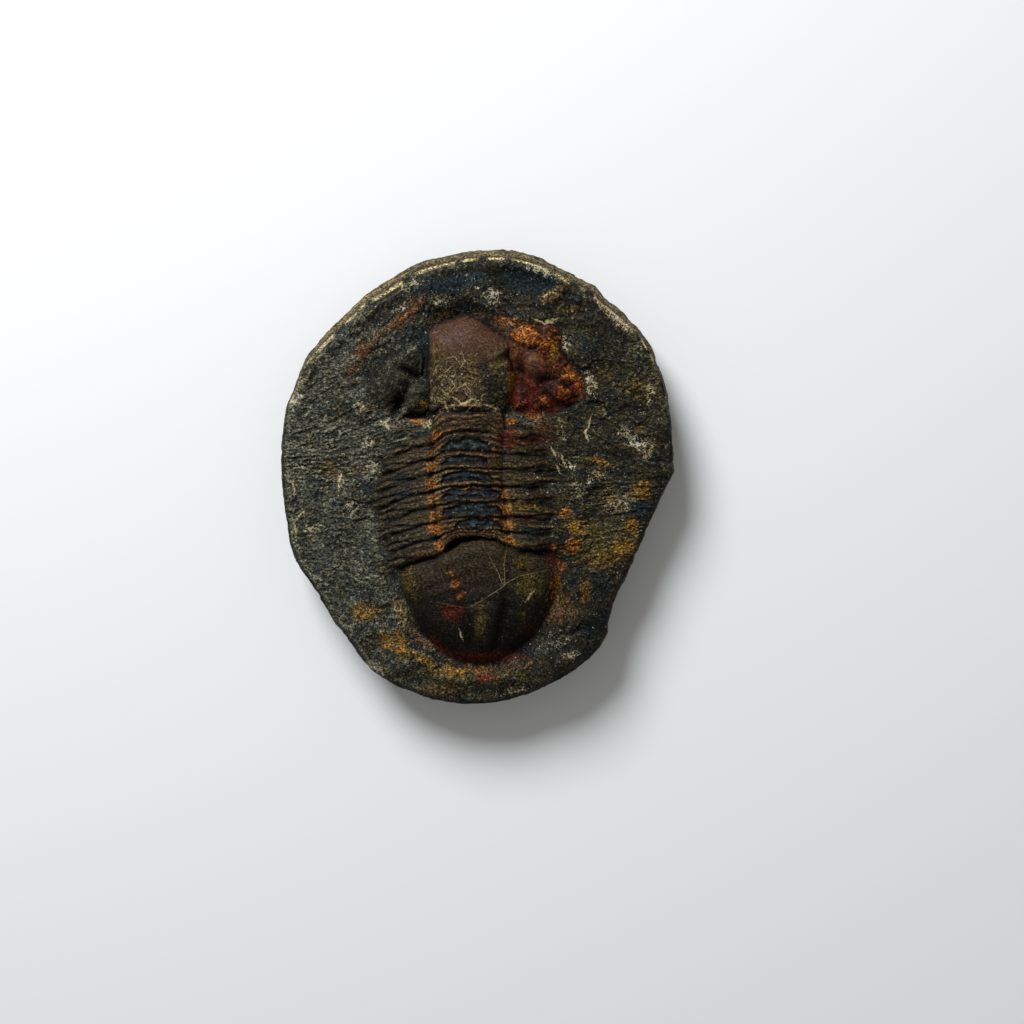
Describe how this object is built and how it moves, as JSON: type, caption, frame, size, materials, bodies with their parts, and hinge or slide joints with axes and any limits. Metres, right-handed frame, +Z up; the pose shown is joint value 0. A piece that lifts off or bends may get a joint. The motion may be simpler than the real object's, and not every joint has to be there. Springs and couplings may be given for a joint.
{
  "type": "trilobite fossil in stone matrix",
  "caption": "Half of a flat dark stone nodule whose split face carries a complete raised trilobite with head shield, ribbed thorax and domed tail shield.",
  "frame": {"origin": "centre of the bounding box in plan, on the surface the stone lies on", "axes": "+Z up out of the split face that carries the fossil, +Y from the tail to the head, +X to the right seen from above"},
  "size_m": [0.0924, 0.107, 0.0197],
  "materials": {
    "fossil_stone": "dark slaty rock, dull to satin, with rust stains"
  },
  "bodies": {
    "root": {"trilobite_nodule": "fossil_stone"}
  },
  "joints": []
}
